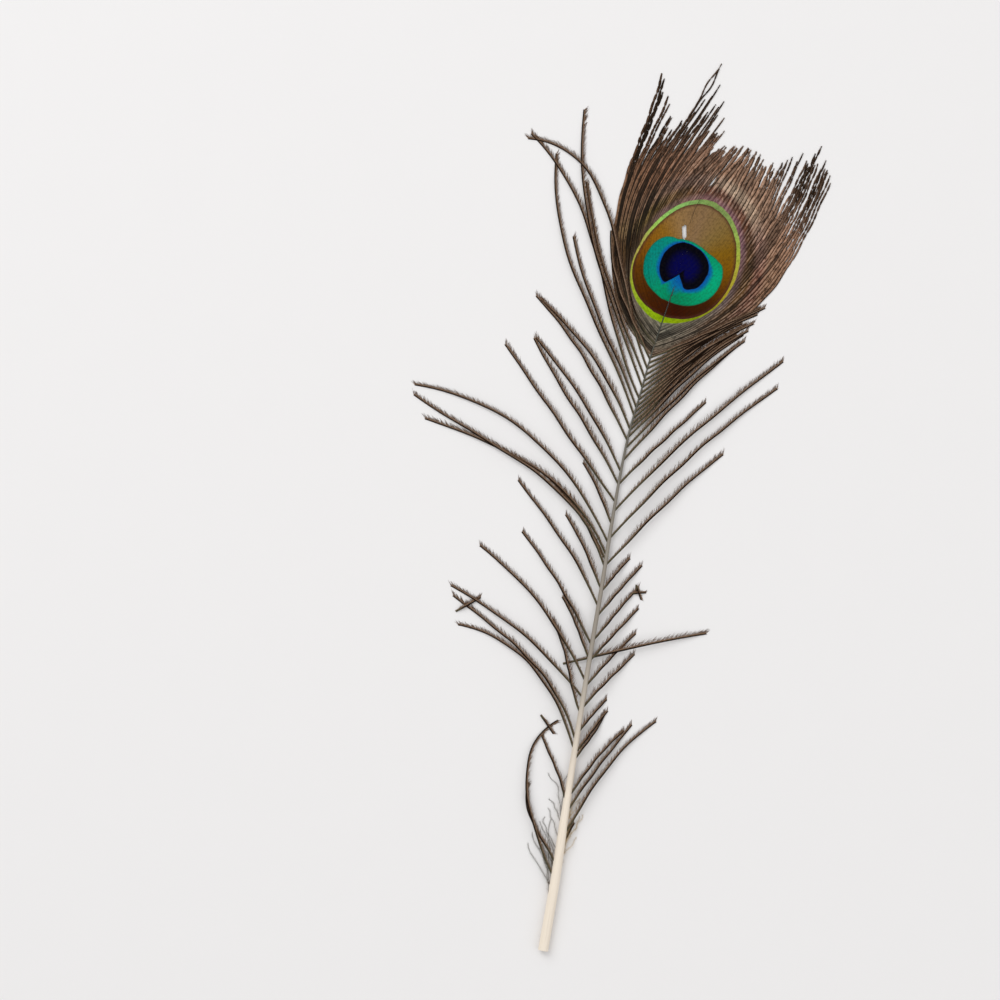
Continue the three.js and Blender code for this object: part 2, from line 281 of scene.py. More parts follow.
# Soft lights as (name, place, size, power), in metres and watts, and the light from all round.
LIGHTS = (("key", (-0.9, 0.7, 1.3), 1.4, 16), ("fill", (0.9, -0.2, 1.2), 1.6, 6))
STUDIO_TINT, STUDIO_POWER = (1.0, 0.99, 0.985, 1.0), 0.55
FLOOR_SIZE = 6
SENSOR = 36  # width of the camera's sensor in millimetres


def linear(code):
    """Linear RGB of an sRGB hex colour."""
    parts = [int(code[i:i + 2], 16) / 255 for i in (1, 3, 5)]
    return tuple(p / 12.92 if p <= 0.04045 else ((p + 0.055) / 1.055) ** 2.4 for p in parts)


def rgba(colour):
    """Colour with full opacity."""
    return (*colour[:3], 1.0)


# Curves

def smooth_between(rows, at):
    """Smooth curve through rows of [place, value], held level past its ends."""
    places, values = np.array(rows, float).T
    slopes = np.gradient(values, places)
    at = np.clip(at, places[0], places[-1])
    k = np.clip(np.searchsorted(places, at) - 1, 0, len(places) - 2)
    gap = places[k + 1] - places[k]
    t = (at - places[k]) / gap
    return (
        (2 * t**3 - 3 * t**2 + 1) * values[k] + (t**3 - 2 * t**2 + t) * gap * slopes[k]
        + (3 * t**2 - 2 * t**3) * values[k + 1] + (t**3 - t**2) * gap * slopes[k + 1]
    )


def smoothstep(low, high, x):
    """0 at low and 1 at high, which may be the smaller one, with an easy start and end."""
    t = np.clip((x - low) / (high - low), 0, 1)
    return t * t * (3 - 2 * t)


def shaft_width(y):
    """Width of the shaft at stations y."""
    return smooth_between(SHAFT_WIDTHS, y)


def shaft_line(y):
    """Centre of the shaft at stations y: it lies on its quill end and on the eye, and arches between."""
    y = np.asarray(y, float)
    arch = ARCH_RISE * np.sin(np.pi * np.minimum(1, y / EYE_BASE)) ** 2
    x = smooth_between([[b, a] for a, b in SHAFT_BENDS], y)
    line = np.stack([x, y, shaft_width(y) / 2 + arch], -1)
    line[..., 2] += crown(line) + SEATED * smoothstep(*SEATED_AT, y) - SUNK * smoothstep(*SUNK_AT, y)
    line[..., 2] = np.maximum(line[..., 2], shaft_width(y) / 2)
    return line


def eye_nearness(lines):
    """Distance from the middle of the eye as a share of the ring's radii."""
    off = (lines[..., :2] - RING_CENTRE) / RING_RADII
    return np.linalg.norm(off, axis=-1)


def crown(lines):
    """Height by which the eye stands proud, being gently domed."""
    return DOME * np.exp(-eye_nearness(lines) ** 2)


def heading(degrees):
    """Level unit directions, by their angle from +Y towards +X."""
    turn = np.radians(degrees)
    return np.stack([np.sin(turn), np.cos(turn), np.zeros_like(turn)], -1)


def barb_lines(rows, lift, steps, reach=None, tip_height=REST_HEIGHT):
    """Centre lines of barbs, as an array of barb by step by XYZ; reach is the share of each that is left."""
    root, leave, tip, tip_angle = rows
    tip = np.concatenate([tip, np.full((len(tip), 1), tip_height)], 1)
    hold = BEZIER_HOLD * np.linalg.norm(tip - root, axis=1, keepdims=True)
    outward = root + heading(leave) * hold
    inward = tip - heading(tip_angle) * hold
    outward[:, 2] = root[:, 2] + lift
    inward[:, 2] = tip_height + 0.6 * lift
    reach = np.ones(len(root)) if reach is None else reach
    t = np.linspace(0, 1, steps)[None, :, None] * reach[:, None, None]
    a, b, c, d = (p[:, None] for p in (root, outward, inward, tip))
    return (1 - t) ** 3 * a + 3 * (1 - t) ** 2 * t * b + 3 * (1 - t) * t**2 * c + t**3 * d


def split_rows(rows, root=None):
    """Columns of a table of barbs: roots on the shaft, leaving angles, tips and tip angles."""
    rows = np.array(rows, float)
    root = shaft_line(rows[:, 0]) if root is None else root
    return root, rows[:, 1], rows[:, 2:4], rows[:, 4]


def along_and_across(lines):
    """Unit directions along lines and level across them, to their left."""
    along = np.gradient(lines, axis=-2)
    along /= np.linalg.norm(along, axis=-1, keepdims=True)
    across = np.stack([-along[..., 1], along[..., 0], np.zeros_like(along[..., 0])], -1)
    return along, across / np.linalg.norm(across, axis=-1, keepdims=True)


def run_along(lines):
    """Length along each line, in millimetres."""
    step = np.linalg.norm(np.diff(lines, axis=-2), axis=-1)
    return np.concatenate([np.zeros_like(step[..., :1]), np.cumsum(step, -1)], -1)


def free_line(row, height, tip_height=REST_HEIGHT):
    """Centre line of a loose strand, from its row of lift, root, leaving angle, tip and angle there."""
    root = np.array([[*row[1:3], height]])
    return barb_lines(split_rows([[0, *row[3:]]], root), row[0], BARB_STEPS, tip_height=tip_height)


# Meshes from arrays

def plan_sheet(low, under):
    """Texture places straight from above, beside each other for the top and for the underside."""
    def sheet(quads):
        below = np.arange(quads.shape[2]) >= TOP_QUADS
        return SHEET_MARGIN + (quads - low) * SHEET_SCALE + np.where(below[:, None, None], (under, 0), 0)
    return sheet


def column_sheet(first, width, kinds=1):
    """Texture places that unroll each strand along a column, a few kinds of them side by side."""
    def sheet(quads):
        count, steps, corners = quads.shape[:3]
        u = (np.arange(corners)[:, None] + [0, 1, 1, 0]) / corners
        v = (np.arange(steps)[:, None, None] + [0, 0, 1, 1]) / steps
        column = np.arange(count)[:, None, None, None] % kinds
        u = first + width * (column + SHEET_MARGIN + (1 - 2 * SHEET_MARGIN) * u)
        return np.stack(np.broadcast_arrays(u, v), -1)
    return sheet


def quads_of(rings):
    """Values at the corners of the faces between each ring of a strand and the next."""
    near, far = rings[:, :-1], rings[:, 1:]
    return np.stack([near, np.roll(near, -1, 2), np.roll(far, -1, 2), far], 3)


class Strands:
    """Closed strips and spikes, collected as arrays and made into one mesh, with its MARKS."""

    def __init__(self, sheet=None):
        self.sheet, self.total = sheet, 0
        self.points, self.quads, self.caps, self.quad_places, self.cap_places = [], [], [], [], []
        self.marks = {name: [] for name in MARKS}

    def add(self, rings, **marks):
        """Rings are strand by step by corner by XYZ, the corners anticlockwise as the tip shows them."""
        count, steps, corners, _ = rings.shape
        index = self.total + np.arange(count * steps * corners).reshape(count, steps, corners)
        self.total += index.size
        self.points.append(rings.reshape(-1, 3))
        self.quads.append(quads_of(index).reshape(-1, 4))
        self.caps += index[:, 0, ::-1].tolist() + index[:, -1].tolist()
        places = self.sheet(quads_of(rings[..., :2]))
        self.quad_places.append(places.reshape(-1, 2))
        turn = 2 * np.pi * np.arange(corners) / corners
        ring = 0.5 * SHEET_MARGIN * np.stack([np.cos(turn), np.sin(turn)], -1)
        for end in (places[:, :1, 1, 0], places[:, -1:, 1, 3]):
            self.cap_places.append(np.clip(end + ring, 0, 1).reshape(-1, 2))
        for name in MARKS:
            self.marks[name].append(np.broadcast_to(marks.get(name, 0.0), rings.shape[:3]).reshape(-1))

    def piece(self, name, material):
        """Object of all the strands, which rides on the body and stands for the solid."""
        points = np.concatenate(self.points)
        points[:, :2] += QUILL_END
        mesh = bpy.data.meshes.new(name)
        mesh.from_pydata((points * MM).tolist(), [], np.concatenate(self.quads).tolist() + self.caps)
        for mark, values in self.marks.items():
            layer = mesh.attributes.new(mark, "FLOAT", "POINT")
            layer.data.foreach_set("value", np.concatenate(values).astype(np.float32))
        places = np.concatenate(self.quad_places + self.cap_places)
        mesh.uv_layers.new(name="OFBake").data.foreach_set("uv", places.astype(np.float32).ravel())
        mesh.materials.append(material)
        piece = bpy.data.objects.new(name, mesh)
        bpy.context.scene.collection.objects.link(piece)
        finish_piece(piece)


def finish_piece(piece):
    """Puts a piece on the body in the solid's place."""
    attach(piece, BODY)
    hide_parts(NODE)


def add_strips(strands, lines, stem, left, right, drop, distal=1, **marks):
    """Strips with a raised stem and a thin vane to each side, whose edges are lower than the stem by drop.

    The distal side, which faces the feather's tip, is 1 for left and -1 for right.
    """
    _, across = along_and_across(lines)
    stem, left, right, drop, zero = np.broadcast_arrays(stem, left, right, drop, np.zeros(lines.shape[:2]))
    sideways = np.stack([left, 0.8 * stem, zero, -0.8 * stem, -right, zero], -1)
    upward = np.stack([-drop, 0.2 * stem, stem, 0.2 * stem, -drop, -stem], -1)
    rings = lines[:, :, None] + across[:, :, None] * sideways[..., None]
    rings[..., 2] = np.maximum(rings[..., 2] + upward, LOWEST)
    marks = {"reach": np.linspace(0, 1, lines.shape[1]), "run": run_along(lines), **marks}
    wide = {name: np.broadcast_to(value, zero.shape)[..., None] for name, value in marks.items()}
    strands.add(rings, across=STRIP_MARKS * distal, **wide)


def add_spikes(strands, base, tip, bend, width, **marks):
    """Thin curved spikes from base to tip, bowed sideways by bend; one row per spike."""
    middle = 0.5 * (base + tip) + bend
    line = np.stack([base, middle, tip], 1)
    _, across = along_and_across(line)
    half = 0.5 * width[:, None] * np.array([1.0, 0.75, 0.2])
    zero = np.zeros_like(half)
    rings = line[:, :, None] + across[:, :, None] * np.stack([half, zero, -half], -1)[..., None]
    rings[..., 2] += np.stack([zero, half, zero], -1)
    wide = {name: np.broadcast_to(value, len(base))[:, None, None] for name, value in marks.items()}
    strands.add(rings[:, :, ::-1], across=np.array([0, 0.5, 1.0])[None, :, None], **wide)


# Shared material parts

def add(tree, kind, inputs=(), out=0, **settings):
    """Adds a node with its settings, feeds its inputs from values or sockets, and gives one output."""
    node = tree.nodes.new("ShaderNode" + kind)
    for name, value in settings.items():
        setattr(node, name, value)
    pairs = inputs.items() if isinstance(inputs, dict) else enumerate(inputs)
    for socket, value in pairs:
        if isinstance(value, bpy.types.NodeSocket):
            tree.links.new(value, node.inputs[socket])
        elif value is not None:
            node.inputs[socket].default_value = value
    return node.outputs[out] if node.outputs else None


def read_marks(tree, *names):
    """Outputs that give a mesh's marks."""
    return [add(tree, "Attribute", out=2, attribute_name=name) for name in names]


def share(tree, *factors):
    """Factors multiplied together. One written (value, low, high) goes from 0 at low to 1 at high."""
    result = None
    for factor in factors:
        if isinstance(factor, tuple):
            factor = add(tree, "MapRange", (*factor, 0.0, 1.0), interpolation_type="SMOOTHSTEP")
        result = factor if result is None else add(tree, "Math", (result, factor), operation="MULTIPLY")
    return result


def layered(tree, colour, *layers):
    """Colour with others laid over it in turn. A layer is its colour and then the factors of its share."""
    for over, *factors in layers:
        low, high = (c if isinstance(c, bpy.types.NodeSocket) else rgba(c) for c in (colour, over))
        colour = add(tree, "Mix", {0: share(tree, *factors), 6: low, 7: high}, out=2, data_type="RGBA")
    return colour


def outline_radius(tree, turn, outline, column=1):
    """Radius of an outline at a turn from 0 to 1, in millimetres, from one column of its table."""
    share_of_longest = add(tree, "FloatCurve", (1.0, turn))
    curve = share_of_longest.node.mapping.curves[0]
    points = [(row[0] / 360, row[column] / LONGEST_RADIUS) for row in outline]
    curve.points[0].location, curve.points[-1].location = points[0], points[-1]
    for place in points[1:-1]:
        curve.points.new(*place)
    for point in curve.points:
        point.handle_type = "AUTO_CLAMPED"
    share_of_longest.node.mapping.update()
    return add(tree, "Math", (share_of_longest, LONGEST_RADIUS), operation="MULTIPLY")


def beyond(tree, radius_and_turn, outline, column=1):
    """How far outside an outline a place is, in millimetres."""
    radius, turn = radius_and_turn
    return add(tree, "Math", (radius, outline_radius(tree, turn, outline, column)), operation="SUBTRACT")


def new_material(name):
    """Material without nodes, and its node tree."""
    material = bpy.data.materials.new(name)
    material.use_nodes = True
    material.node_tree.nodes.clear()
    return material, material.node_tree


def finish_material(tree, colour, roughness, **sockets):
    """Adds the shader and the output, with an underscore for each space in a socket's name."""
    names = {"Base Color": colour, "Roughness": roughness}
    names.update({name.replace("_", " "): value for name, value in sockets.items()})
    add(tree, "OutputMaterial", (add(tree, "BsdfPrincipled", names),))


def polar(tree, place, centre):
    """Radius in millimetres and turn from 0 to 1 about a centre given in the tables' millimetres."""
    low = [-(c + q) for c, q in zip(centre, QUILL_END)]
    local = add(tree, "Mapping", {0: place, 1: (*low, 0.0), 3: (1 / MM, 1 / MM, 0.0)})
    x, y = (add(tree, "SeparateXYZ", (local,), out=i) for i in (0, 1))
    angle = add(tree, "Math", (y, x), operation="ARCTAN2")
    turns = add(tree, "Math", (angle, 2 * math.pi), operation="DIVIDE")
    radius = add(tree, "VectorMath", (local,), out=1, operation="LENGTH")
    return radius, add(tree, "Math", (turns,), operation="FRACT")


def wheel(tree, turn, stops):
    """Colour by turn, from colours at angles in degrees; the first comes again after a full turn."""
    stops = [*stops.items(), (360, stops[0])]
    colour = add(tree, "ValToRGB", (turn,))
    elements = colour.node.color_ramp.elements
    while len(elements) < len(stops):
        elements.new(0.5)
    for element, (angle, code) in zip(elements, stops):
        element.position = angle / 360
        element.color = rgba(linear(code))
    return colour


# Eye vane

def eye_lines(rows, left):
    """Centre lines of barbs that turn once on their way, of whose outer part a share is left."""
    rows = np.array(rows, float)
    root, turn = shaft_line(rows[:, 0]), rows[:, 2:4]
    root[:, 2] = REST_HEIGHT
    inner = barb_lines((root, rows[:, 1], turn, rows[:, 4]), 0, TURN_STEPS)
    outer = barb_lines((inner[:, -1], rows[:, 4], rows[:, 5:7], rows[:, 7]), 0, TIP_STEPS, reach=left)
    return np.concatenate([inner[:, :-1], outer], 1)


def eye_fan(count, rng):
    """Centre lines of the eye's barbs, ordered from the left edge over the middle to the right edge."""
    rows = []
    for leaders in (LEFT_EYE, RIGHT_EYE[::-1]):
        among = np.linspace(0, len(leaders) - 1, count)
        columns = np.array(leaders, float).T
        rows.append(np.stack([np.interp(among, range(len(leaders)), c) for c in columns], -1))
    rows = np.concatenate(rows)
    tips = rows[:, 5:7]
    tips += rng.normal(0, TIP_SPREAD, tips.shape)
    bunch = np.cumsum(rng.random(len(rows)) < NEW_BUNCH)
    for b in np.unique(bunch):
        held = bunch == b
        tips[held] += BUNCH_PULL * (tips[held].mean(0) - tips[held])
    broken = BROKEN * rng.random(len(rows)) ** 1.8
    broken[[0, 1, -2, -1]] = 0
    lines = eye_lines(rows, 1 - broken)
    _, across = along_and_across(lines)
    run = run_along(lines)
    turns = run / rng.uniform(7, 17, (len(rows), 1)) + rng.random((len(rows), 1))
    stray = WANDER * np.sin(2 * np.pi * turns) * smoothstep(1.15, 1.7, eye_nearness(lines))
    lines += across * stray[..., None]
    lines[..., 2] += crown(lines) + EYE_HEIGHTS["fan"] + rng.uniform(0, 0.05, (len(rows), 1))
    return lines


def long_lines():
    """Centre lines of the longest barbs, of which the first two part and meet again."""
    lines = eye_lines(LONG_BARBS, np.ones(len(LONG_BARBS)))
    _, across = along_and_across(lines)
    run = run_along(lines)
    parted = np.array([[1], [-1]] + [[0]] * (len(lines) - 2))
    left_over = run[..., -1:] - run - LOOP_END * (parted > 0)
    bow = LOOP_HALF * np.sin(np.pi * np.clip(left_over / LOOP_LENGTH, 0, 1)) ** 2
    lines += across * (bow * parted)[..., None]
    lines[..., 2] += crown(lines) + EYE_HEIGHTS["long"]
    return lines


def half_gaps(lines):
    """Half the level distance from each eye barb to its neighbours on the left and on the right."""
    _, across = along_and_across(lines)
    step = np.diff(lines, axis=0)
    gap = 0.5 * np.abs((step * across[1:]).sum(-1))
    edge = np.full((1, gap.shape[1]), 0.5)
    return np.concatenate([edge, gap]), np.concatenate([gap, edge])


def shading(gaps):
    """Painted shade on each barb of the fan, from 0 to 1, where barbs that lie close together are alike."""
    place = np.cumsum(gaps[0][:, TURN_STEPS] + gaps[1][:, TURN_STEPS])
    return 0.5 + 0.5 * np.sin(2 * np.pi * place / SHADE_WIDTH + 1.7 * np.sin(1.9 * place))


def openness(lines):
    """0 where the vane is zipped shut and 1 where its barbs stand apart."""
    run = run_along(lines)
    end = smoothstep(CHOPPED, 0.3 * CHOPPED, run[..., -1:] - run)
    past_ring = smoothstep(OPEN_FROM, OPEN_TO, eye_nearness(lines))
    return np.maximum(past_ring, end) * smoothstep(*OPEN_STATIONS, lines[..., 1])


def add_eye_strips(strands, lines, left, right, luck, slip=0.0, shade=0.0):
    """Zipped barbs as wide as their gaps, that narrow to beaded strands where the vane has come apart."""
    luck, slip, shade = (np.reshape(value, (-1, 1)) for value in (luck, slip, shade))
    run = run_along(lines)
    away = openness(lines)
    wave = np.sin(2 * np.pi * run / (BEAD_LENGTH * (0.8 + 0.6 * luck)) + 50 * luck)
    wave += 0.7 * np.sin(2 * np.pi * run / (BEAD_LENGTH * (1.9 - 0.5 * luck)) + 90 * luck)
    bead = smoothstep(-1.4, -0.3, wave)
    strand = STRAND_HALF * (0.3 + 0.7 * bead) * (0.7 + 0.6 * ((7 * luck) % 1))
    blunt = np.minimum(1, 18 - 17.5 * np.linspace(0, 1, lines.shape[1]))
    to_slit = SLIT - lines[..., :2]
    _, across = along_and_across(lines)
    facing = (to_slit * across[..., :2]).sum(-1)
    at_slit = smoothstep(1.25, 1, np.linalg.norm(to_slit / SLIT_HALF, axis=-1))
    sizes = []
    for side, faces in ((left, facing > -0.5), (right, facing < 0.5)):
        closed = np.clip(1.12 * side, 0.12, 1.4) * (1 - 0.93 * at_slit * faces)
        sizes.append(((1 - away) * closed + away * np.minimum(strand, closed)) * blunt + 0.02)
    drop = 0.03 + (0.02 + 0.12 * away) * (sizes[0] + sizes[1])
    add_strips(strands, lines, 0.07 + 0.05 * away, *sizes, drop, luck=luck, eye=1.0, slip=slip, shade=shade)


def add_middle(strands, rng):
    """The longest barbs, the zipped strip over the shaft's end, and the dark strip of painted shade at the
    parting past it.
    """
    luck, shade = rng.random((2, len(LONG_BARBS)))
    add_eye_strips(strands, long_lines(), LONG_HALF, LONG_HALF, luck, shade=shade)
    seam = shaft_line(np.linspace(SUNK_AT[0], SHAFT_TIP + 3, BARB_STEPS))[None]
    seam[..., 2] = crown(seam) + EYE_HEIGHTS["seam"]
    add_eye_strips(strands, seam, SEAM_HALF, SEAM_HALF, 0.5)
    # thin dark strip that paints the shade in the parting
    parting = free_line(PARTING, 0, tip_height=0.0)
    parting[..., 2] += crown(parting) + EYE_HEIGHTS["parting"]
    thin = 0.03 + 0.09 * np.sin(np.linspace(0, np.pi, BARB_STEPS))
    add_strips(strands, parting, 0.4 * thin, thin, thin, 0.0, eye=PARTING_SHOWS, reach=1.0)


# Barbules

def fringe(strands, line, side, rng, barbules, length, start=0.03, luck=0.5, **marks):
    """Barbules along one side of a barb, gathered into small teeth: side is 1 for left and -1 for right."""
    spacing, lean, tooth, width = barbules
    run = run_along(line)
    total = run[-1]
    if total <= spacing:
        return
    at = np.arange(start * total, total, spacing)
    at = at + rng.uniform(-0.3, 0.3, len(at)) * spacing
    base, along, across = (
        np.stack([np.interp(at, run, column) for column in values.T], -1)
        for values in (line, *along_and_across(line))
    )
    tooth_phase = at / tooth + 0.9 * np.sin(at / (2.7 * tooth) + 6 * luck) + rng.uniform(0, 1)
    within = tooth_phase % 1 - 0.5
    cling = 0.5 + 0.5 * np.sin(at / (1.9 * tooth) + 11 * luck)
    reach = length(at / total) * (0.9 + 0.1 * np.cos(np.pi * within)) * rng.uniform(0.6, 1.15, len(at))
    keep = reach > 0.06
    turn = np.radians(lean + (4 + 15 * cling) * within + rng.uniform(-10, 10, len(at)))[:, None]
    tip = base + reach[:, None] * (np.cos(turn) * along + side * np.sin(turn) * across)
    tip[:, 2] = np.maximum(0.03, tip[:, 2] + rng.uniform(-0.22, 0.06, len(at)) * reach)
    bend = side * 0.07 * reach[:, None] * across
    wide = width * rng.uniform(0.7, 1.2, len(at))
    add_spikes(
        strands, base[keep], tip[keep], bend[keep], wide[keep],
        reach=(at / total)[keep], run=at[keep], luck=luck, **marks,
    )


def distal_length(longest):
    """Length of the barbules along a barb: short at its root, full from a third of the way on."""
    return lambda t: longest * (0.3 + 0.7 * smoothstep(0.02, 0.3, t)) * (1 - 0.25 * t)


def eye_fringe(lines, luck, side, rng):
    """Barbules on the fan's barbs, from where the vane comes apart to their ends."""
    strands = Strands(plan_sheet(FAN_LOW[side], 0))
    for line, fate in zip(lines, luck):
        run = run_along(line)
        start = run[np.argmax(openness(line) > 0.3)] / run[-1]
        for aside in (1, -1):
            fringe(
                strands, line, aside, rng, EYE_BARBULES, lambda t: EYE_BARBULE_LENGTH,
                start=start, luck=fate, eye=1.0,
            )
    return strands


def loose_fringes(lines, luck, side, rng):
    """Barbules of the loose barbs that grow below FRINGE_SPLIT, and of those above it."""
    lower, upper = Strands(column_sheet(0, 1)), Strands(column_sheet(0, 1))
    for line, fate in zip(lines, luck):
        strands = lower if line[0, 1] < FRINGE_SPLIT else upper
        size = (0.8 + 0.2 * smoothstep(40, 80, line[0, 1])) * min(1, 0.25 + run_along(line)[-1] / 16)
        far, near = distal_length(size * (2.6 + 0.6 * fate)), distal_length(0.6 * size)
        fringe(strands, line, side, rng, FAR_BARBULES, far, luck=fate)
        fringe(strands, line, -side, rng, NEAR_BARBULES, near, luck=fate)
    return lower, upper


# Loose barbs

def loose_lines(rows, rng):
    """Centre lines of the loose barbs of one side, slightly wavy."""
    lines = barb_lines(split_rows(rows), BARB_LIFT, BARB_STEPS)
    _, across = along_and_across(lines)
    t = np.linspace(0, 1, BARB_STEPS)
    wave = np.sin(2 * np.pi * (t * rng.uniform(2.0, 4.5, (len(rows), 1)) + rng.random((len(rows), 1))))
    size = np.minimum(0.16, 0.003 * run_along(lines)[:, -1:])
    return lines + across * (size * wave * np.sin(np.pi * t))[..., None]


def bare_line():
    """Centre line of the barb without barbules, which rises onto the eye's dome."""
    line = barb_lines(split_rows([BARE_BARB]), BARE_LIFT, BARB_STEPS)
    line[..., 2] += BARE_REST + crown(line) * smoothstep(0, 0.1, np.linspace(0, 1, BARB_STEPS))
    return line


def add_loose_strips(strands, lines, distal, luck, bushy=1.0):
    """Loose barbs: a dark stem with a narrow close band of barbule bases on the side towards the eye."""
    t = np.linspace(0, 1, lines.shape[1])
    stem = 0.26 - 0.09 * t
    bare, band = 1.05 * stem, stem + bushy * (0.16 + 0.2 * smoothstep(0.05, 0.3, t))
    left, right = (band, bare) if distal > 0 else (bare, band)
    add_strips(strands, lines, stem, left, right, 0.06, distal, luck=np.reshape(luck, (-1, 1)))


# Materials

def vane_colour(tree, colours):
    """Colour of the eye's barbs by where they lie, with painted highlights and shade outside the ring, and
    how far past the teal zone that is.
    """
    slip = read_marks(tree, "slip")[0]
    slip = add(tree, "CombineXYZ", (slip, slip, 0.0))
    place = add(tree, "VectorMath", (add(tree, "TexCoord", out=3), slip), operation="ADD")
    ring, pupil = (polar(tree, place, centre) for centre in (RING_CENTRE, PUPIL_CENTRE))
    past_inner, past_outer = (beyond(tree, ring, RING, column) for column in (1, 2))
    past_teal, past_pupil = (beyond(tree, pupil, outline) for outline in (TEAL_EDGE, PUPIL_EDGE))
    brown, olive, dusk, halo, rim, bronze, sunlit = (
        wheel(tree, ring[1], stops) for stops in (BROWN, OLIVE, DUSK, HALO, RIM, BRONZE, SUNLIT)
    )
    outside = layered(
        tree, halo,
        (dusk, (past_outer, 0.7, 2.6)),
        (olive, (past_outer, 3.6, 5.6)),
        (brown, (past_outer, 6.8, 9.5)),
        (colours.dark_brown, (past_outer, 13.0, 24.0)),
    )
    near = add(tree, "MapRange", (past_outer, 0.0, 3.5, 0.4, 1.0))
    # strength of the painted highlight, by how brightly the light catches the barbs, weaker far outside the
    # ring
    shine = share(tree, sunlit, add(tree, "MapRange", (past_outer, 22.0, 7.0, 0.3, 1.0)))
    # strength of the painted shade over the darker barbs, deepest where the light catches them least
    shade_depth = add(tree, "MapRange", (sunlit, 0.15, 1.0, 1.0, 0.5))
    # painted highlights and painted shade on the barbs outside the ring
    outside = ribbed(tree, outside, near, shine, shade_depth, colours)
    blue_width = outline_radius(tree, pupil[1], AZURE_WIDTH)
    blue_share = add(tree, "Math", (past_pupil, blue_width), operation="DIVIDE")
    blue_to_teal = layered(
        tree, colours.deep_blue,
        (colours.azure, (blue_share, 0.0, 0.55)),
        (wheel(tree, pupil[1], TEAL), (blue_share, 0.4, 1.1)),
        (colours.teal_rim, (past_teal, -0.5, 0.1)),
    )
    ring_and_out = layered(tree, rim, (outside, (past_outer, -0.12, 0.12)))
    pupil_colour = layered(tree, colours.pupil, (colours.pupil_rim, (past_pupil, -5.0, -1.4)))
    colour = layered(
        tree, bronze,
        (colours.ring_line, (past_inner, -1.3, 0.3)),
        (ring_and_out, (past_inner, -0.12, 0.12)),
        (blue_to_teal, (past_teal, 0.12, -0.1)),
        (pupil_colour, (past_pupil, 0.1, -0.14)),
    )
    return colour, past_teal


def ribbed(tree, colour, amount, shine, shade_depth, colours):
    """Barbs told apart: a painted highlight on one flank of each, painted shade in the groove on the other,
    mottles along it.
    """
    across, run, luck, shade = read_marks(tree, "across", "run", "luck", "shade")
    aside = add(tree, "Math", (across,), operation="ABSOLUTE")
    slant = add(tree, "Math", (aside, -0.8, run), operation="MULTIPLY_ADD")
    lane = add(tree, "CombineXYZ", (slant, luck, across))
    stretch = (1 / MOTTLE_LENGTH, 400.0, 0.7)  # the large middle value gives each barb mottles of its own
    lane = add(tree, "VectorMath", (lane, stretch), operation="MULTIPLY")
    mottle = add(tree, "TexNoise", {0: lane, 2: 1.0, 3: 3.0, 4: 0.7})
    lit = share(tree, amount, (across, -0.3, 0.05), (across, 0.7, 0.3), (mottle, 0.34, 0.6), shine)
    return layered(
        tree, colour,
        # painted highlight on the lit flank of each barb
        (colours.lit_barb, lit, 0.85),
        # painted shade in the groove beside each barb
        (colours.shadow, amount, (across, -0.25, -0.8), 0.92),
        (colours.shadow, amount, (mottle, 0.52, 0.36), 0.75),
        # painted shade over the darker barbs, deepest where the light catches them least
        (colours.shadow, amount, shade_depth, (shade, 0.4, 0.8), 0.95),
    )


def underside(tree):
    """0.8 on faces that look down and 0 on the others."""
    z = add(tree, "SeparateXYZ", (add(tree, "NewGeometry", out=3),), out=2)
    return add(tree, "MapRange", (z, -0.1, -0.35, 0.0, 0.8))


def vane_material(colours):
    """Zipped barbs: ribs of horn with a velvet of barbules between, satin in the eye and matt outside."""
    material, tree = new_material("vane keratin")
    eye_colour, past_teal = vane_colour(tree, colours)
    across, reach, eye = read_marks(tree, "across", "reach", "eye")
    aside = add(tree, "Math", (across,), operation="ABSOLUTE")
    velvet = {0: add(tree, "TexCoord", out=3), 2: 1 / (VELVET_GRAIN * MM), 3: 2.0, 4: 0.6}
    grain = add(tree, "TexNoise", velvet)
    colour = layered(
        tree, colours.stem,
        (colours.stem_root, (reach, 0.35, 0.08)),
        (colours.band, (across, 0.25, 0.6)),
        (eye_colour, eye),
        (colours.shadow, (grain, 0.4, 0.7), 0.3),
        (colours.shadow, (aside, 0.34, 0.08), 0.08),
        (colours.shadow, (aside, 0.7, 1.0), 0.08),
        (colours.back, underside(tree)),
    )
    rough = add(tree, "MapRange", (past_teal, -0.2, 0.4, 0.4, 0.58), interpolation_type="SMOOTHSTEP")
    finish_material(tree, colour, rough, Specular_IOR_Level=0.02)
    return material


def fringe_material(colours):
    """Loose barbules: thin brown horn, pale at the base where they are clear, darkest half way out."""
    material, tree = new_material("barbule keratin")
    eye_colour, _ = vane_colour(tree, colours)
    outward, eye = read_marks(tree, "across", "eye")
    colour = layered(
        tree, colours.band,
        (colours.fringe, (outward, 0.1, 0.6)),
        (colours.fringe_tip, (outward, 0.7, 1.0)),
        (eye_colour, eye),
    )
    finish_material(tree, colour, 0.62, Specular_IOR_Level=0.05)
    return material


def down_material(colours):
    """Down: soft fine horn, dark olive on the left of the quill and tan on its right."""
    material, tree = new_material("down keratin")
    grain = add(tree, "TexNoise", {0: add(tree, "TexCoord", out=3), 2: 1 / (DOWN_GRAIN * MM), 3: 2.0})
    colour = layered(
        tree, colours.down_pale,
        (colours.down_dark, *read_marks(tree, "shade")),
        (colours.shadow, (grain, 0.4, 0.7), 0.3),
    )
    finish_material(tree, colour, 0.8, Specular_IOR_Level=0.15)
    return material


